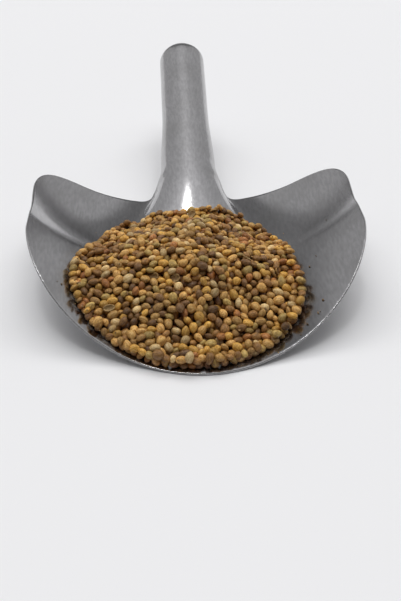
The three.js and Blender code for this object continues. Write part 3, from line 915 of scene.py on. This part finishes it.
def crumb_look():
    """Chaff: dull flakes in uneven browns."""
    look = Look("chaff")
    shade = look.noise(500, 2.0)
    look.set(Base_Color=look.mixed(look.ranged(shade, 0.35, 0.65, 0.0, 1.0), *CRUMB_COLOURS),
             Roughness=0.7, Normal=look.bump(shade, 0.0003, 0.5))
    return look.material


def painted_shade_core_look():
    """Painted shade: a near-black core for the dark between the seeds."""
    look = Look("core")
    shade = look.noise(350, 3.0)
    look.set(Base_Color=look.mixed(look.ranged(shade, 0.35, 0.65, 0.0, 1.0), *CORE_SHADE_COLOURS),
             Roughness=0.8, Normal=look.bump(shade, 0.001, 1.0))
    return look.material


# ---------------------------------------------------------------- pieces

def add_piece(name, points, face_sets, material, nodes):
    """A smooth mesh piece from points in millimetres. Degenerate corners are dropped."""
    mesh = bpy.data.meshes.new(name)
    faces = []
    for faces_of in face_sets:
        if faces_of.shape[1] == 4:
            faces_of = np.vstack([faces_of[:, [0, 1, 2]], faces_of[:, [0, 2, 3]]])
        a, b, c = faces_of.T
        faces.append(faces_of[(a != b) & (b != c) & (c != a)])
    faces = np.vstack(faces)
    used, faces = np.unique(faces, return_inverse=True)
    faces = faces.reshape(-1, 3)
    mesh.vertices.add(len(used))
    mesh.vertices.foreach_set("co", place(points[used]).ravel())
    mesh.loops.add(faces.size)
    mesh.loops.foreach_set("vertex_index", faces.ravel())
    mesh.polygons.add(len(faces))
    mesh.polygons.foreach_set("loop_start", np.arange(0, faces.size, 3))
    mesh.polygons.foreach_set("use_smooth", np.ones(len(faces), bool))
    mesh.update(calc_edges=True)
    mesh.validate()
    mesh.materials.append(material)
    piece = bpy.data.objects.new(name, mesh)
    bpy.context.collection.objects.link(piece)
    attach(piece, "root")
    for node in nodes:
        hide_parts(node)
    return piece, used


def add_values(piece, name, values):
    """A number at each point, for the materials."""
    attribute = piece.data.attributes.new(name, "FLOAT", "POINT")
    attribute.data.foreach_set("value", np.asarray(values, np.float32))


def add_scoop():
    points, faces = make_scoop()
    piece, used = add_piece("scoop_sheet", points, faces, steel_look(), ["scoop"])
    x, y, z = points[used].T
    dx, dy = x - HEAP_MIDDLE[0], y - HEAP_MIDDLE[1]
    beyond = np.hypot(dx, dy) - heap_reach(np.arctan2(dy, dx))
    inner_face = z > pan_height(x, np.maximum(y, 0)) - SHEET / 2
    near = 1 - smooth(beyond, -1, DUST_REACH)
    add_values(piece, "near_heap", near * (y < RIDGE_START) * inner_face)


# Share of the seeds, paler and deeper colour of the coat.
KINDS = {
    "tan": (0.31, (0.78, 0.48, 0.16), (0.42, 0.20, 0.045)),
    "ochre": (0.20, (0.78, 0.46, 0.11), (0.44, 0.21, 0.03)),
    "olive": (0.11, (0.62, 0.43, 0.14), (0.30, 0.18, 0.045)),
    "brown": (0.16, (0.44, 0.23, 0.075), (0.20, 0.09, 0.024)),
    "pale": (0.09, (0.85, 0.63, 0.32), (0.55, 0.34, 0.12)),
    "umber": (0.09, (0.28, 0.15, 0.06), (0.11, 0.05, 0.016)),
    "russet": (0.04, (0.55, 0.24, 0.07), (0.28, 0.10, 0.025)),
}


def add_batch(name, batch, faces, material, values):
    """One piece from many like shapes. Values are given by shape, by point, or by both."""
    count, size = batch.shape[:2]
    every = (faces[None] + size * np.arange(count)[:, None, None]).reshape(-1, 3)
    piece, used = add_piece(name, batch.reshape(-1, 3), [every], material, ["hemp_seeds"])
    for key, value in values.items():
        if key == "coat":
            spread = (value + rng.uniform(-50, 50, (count, 1, 3))).reshape(-1, 3)
            attribute = piece.data.attributes.new(key, "FLOAT_VECTOR", "POINT")
            attribute.data.foreach_set("vector", np.asarray(spread[used], np.float32).ravel())
        else:
            add_values(piece, key, np.broadcast_to(value, (count, size)).reshape(-1)[used])


def add_heap():
    points, faces = make_core()
    # The core's near-black colour is painted shade between the seeds.
    add_piece("heap_core", points, faces, painted_shade_core_look(), ["hemp_seeds"])
    heap = Heap()
    count = len(heap.seeds)
    shares = np.array([kind[0] for kind in KINDS.values()])
    kinds = rng.choice(len(KINDS), count, p=shares / shares.sum())
    tone = rng.uniform(*SEED_TONE, (count, 1))
    faces = seed_faces()
    for number, (name, (_, pale, deep)) in enumerate(KINDS.items()):
        chosen = np.flatnonzero(kinds == number)
        batch = heap.seeds[chosen]
        # Each batch carries the painted shade between the seeds as a value at its points.
        values = {"tone": tone[chosen], "scar": heap.scar, "seam": heap.seam,
                  "painted_shade": heap.painted_shade(batch), "coat": heap.seed_coat[chosen]}
        add_batch(f"seeds_{name}", batch, faces, seed_look(f"seed_{name}", pale, deep), values)
    values = {"hollow": heap.hollow, "painted_shade": heap.painted_shade(heap.husks), "coat": heap.husk_coat}
    add_batch("husks", heap.husks, husk_faces(), husk_look(), values)
    spots, length, normal = crumb_places(heap)
    shapes, faces = crumb_shapes(length)
    add_batch("chaff", laid(turns(normal, len(length)), shapes, spots), faces, crumb_look(), {})


# ---------------------------------------------------------------- stage

CAMERA_TARGET = Vector((0.00062, -0.06902, 0.001))
CAMERA_DISTANCE = 0.345
CAMERA_PITCH, CAMERA_YAW, CAMERA_ROLL = 37.0, 3.7, -0.5
PHOTO_FOCUS, PHOTO_HEIGHT = 800.0, 601.0  # pixels
SENSOR = 36  # millimetres
LIGHT_DISTANCE = 10.0
FLOOR_SIDE, FLOOR_FRONT, FLOOR_BACK = 4, -4, 6
FLOOR_COLOUR = (0.86, 0.86, 0.87, 1)
# Elevation, degrees aside, width and height in degrees, flux, and whether it is mirrored.
LIGHTS = {
    "soft_box_behind": (50.0, 0.0, 60.0, 18.0, 1.25, False),
    "soft_box_above": (78.0, 0.0, 40.0, 30.0, 0.65, False),
    "small_box_above": (86.0, -4.0, 8.0, 6.0, 0.25, True),
}
# Brightness of the room behind the scoop, by the sine of the elevation, and of its front.
ROOM_BEHIND = ((0.0, 0.52), (0.5, 0.56), (0.8, 0.66), (0.95, 0.9))
ROOM_FRONT = 0.15
# A dark panel in the room behind the scoop: its brightness by the sine of the elevation, the
# tangent of its half width, and the sine of its top, where each fades out.
PANEL = ((0.0, 0.28), (0.3, 0.27), (0.6, 0.21))
PANEL_SIDE = (0.50, 0.62)
PANEL_TOP = (0.70, 0.78)


def add_camera():
    pitch, yaw = math.radians(CAMERA_PITCH), math.radians(CAMERA_YAW)
    forward = Vector((math.sin(yaw) * math.cos(pitch), math.cos(yaw) * math.cos(pitch),
                      -math.sin(pitch)))
    camera = bpy.data.objects.new("camera", bpy.data.cameras.new("camera"))
    bpy.context.collection.objects.link(camera)
    camera.data.sensor_width = SENSOR
    camera.data.lens = SENSOR * PHOTO_FOCUS / PHOTO_HEIGHT
    camera.data.clip_start = 0.01
    turn = forward.to_track_quat("-Z", "Y").to_matrix().to_4x4()
    roll = Matrix.Rotation(math.radians(-CAMERA_ROLL), 4, "Z")
    stand = Matrix.Translation(CAMERA_TARGET - CAMERA_DISTANCE * forward)
    camera.matrix_world = stand @ turn @ roll
    bpy.context.scene.camera = camera


def add_light(name, elevation, aside, wide, tall, flux, mirrored):
    """A distant soft box. Its direction and its extent are angles in degrees, elevation
    being from the floor behind the scoop, and flux is what it gives each square metre."""
    light = bpy.data.lights.new(name, "AREA")
    light.shape = "RECTANGLE"
    light.size = 2 * LIGHT_DISTANCE * math.tan(math.radians(wide / 2))
    light.size_y = 2 * LIGHT_DISTANCE * math.tan(math.radians(tall / 2))
    rise, turn = math.radians(elevation), math.radians(aside)
    towards = Vector((math.sin(turn), math.cos(turn) * math.cos(rise),
                      math.cos(turn) * math.sin(rise)))
    light.energy = flux * math.pi * LIGHT_DISTANCE**2 / towards.z
    lamp = bpy.data.objects.new(name, light)
    bpy.context.collection.objects.link(lamp)
    lamp.visible_glossy = mirrored
    lamp.location = towards * LIGHT_DISTANCE
    lamp.rotation_euler = towards.to_track_quat("Z", "Y").to_euler()


def add_room():
    """The room as the steel mirrors it, by direction."""
    world = bpy.data.worlds.new("studio")
    world.use_nodes = True
    room = Nodes(world.node_tree)
    towards = room.node("SeparateXYZ", {0: room.node("TexCoord").outputs["Generated"]}).outputs

    def by_height(stops):
        ramp = room.node("ValToRGB", {"Fac": towards["Z"]})
        ramp.color_ramp.interpolation = "EASE"
        elements = ramp.color_ramp.elements
        while len(elements) < len(stops):
            elements.new(1.0)
        for stop, (at, bright) in zip(elements, stops):
            stop.position = at
            stop.color = (0.985 * bright, 0.985 * bright, bright, 1)
        return ramp.outputs["Color"]

    ahead = room.math("MAXIMUM", towards["Y"], 0.01)
    aside = room.math("DIVIDE", room.math("ABSOLUTE", towards["X"]), ahead)
    in_panel = room.times(room.ranged(aside, *PANEL_SIDE, 1.0, 0.0),
                          room.ranged(towards["Z"], *PANEL_TOP, 1.0, 0.0))
    behind = room.mixed(in_panel, by_height(ROOM_BEHIND), by_height(PANEL))
    front = (ROOM_FRONT, ROOM_FRONT, ROOM_FRONT, 1)
    share = room.ranged(towards["Y"], -0.3, 0.1, 0.0, 1.0)
    room.put(room.tree.nodes["Background"].inputs["Color"], room.mixed(share, front, behind))
    bpy.context.scene.world = world


def add_stage():
    floor_look = Look("paper")
    floor_look.set(Base_Color=FLOOR_COLOUR, Roughness=0.9)
    mesh = bpy.data.meshes.new("floor")
    corners = [(-FLOOR_SIDE, FLOOR_FRONT, 0), (FLOOR_SIDE, FLOOR_FRONT, 0),
               (FLOOR_SIDE, FLOOR_BACK, 0), (-FLOOR_SIDE, FLOOR_BACK, 0)]
    mesh.from_pydata(corners, [], [(0, 1, 2, 3)])
    mesh.materials.append(floor_look.material)
    floor = bpy.data.objects.new("floor", mesh)
    bpy.context.collection.objects.link(floor)

    add_room()
    for name, values in LIGHTS.items():
        add_light(name, *values)

    view = bpy.context.scene.view_settings
    view.view_transform = "Standard"
    view.look = "None"
    view.exposure = 0.0


add_scoop()
add_heap()
add_camera()
add_stage()
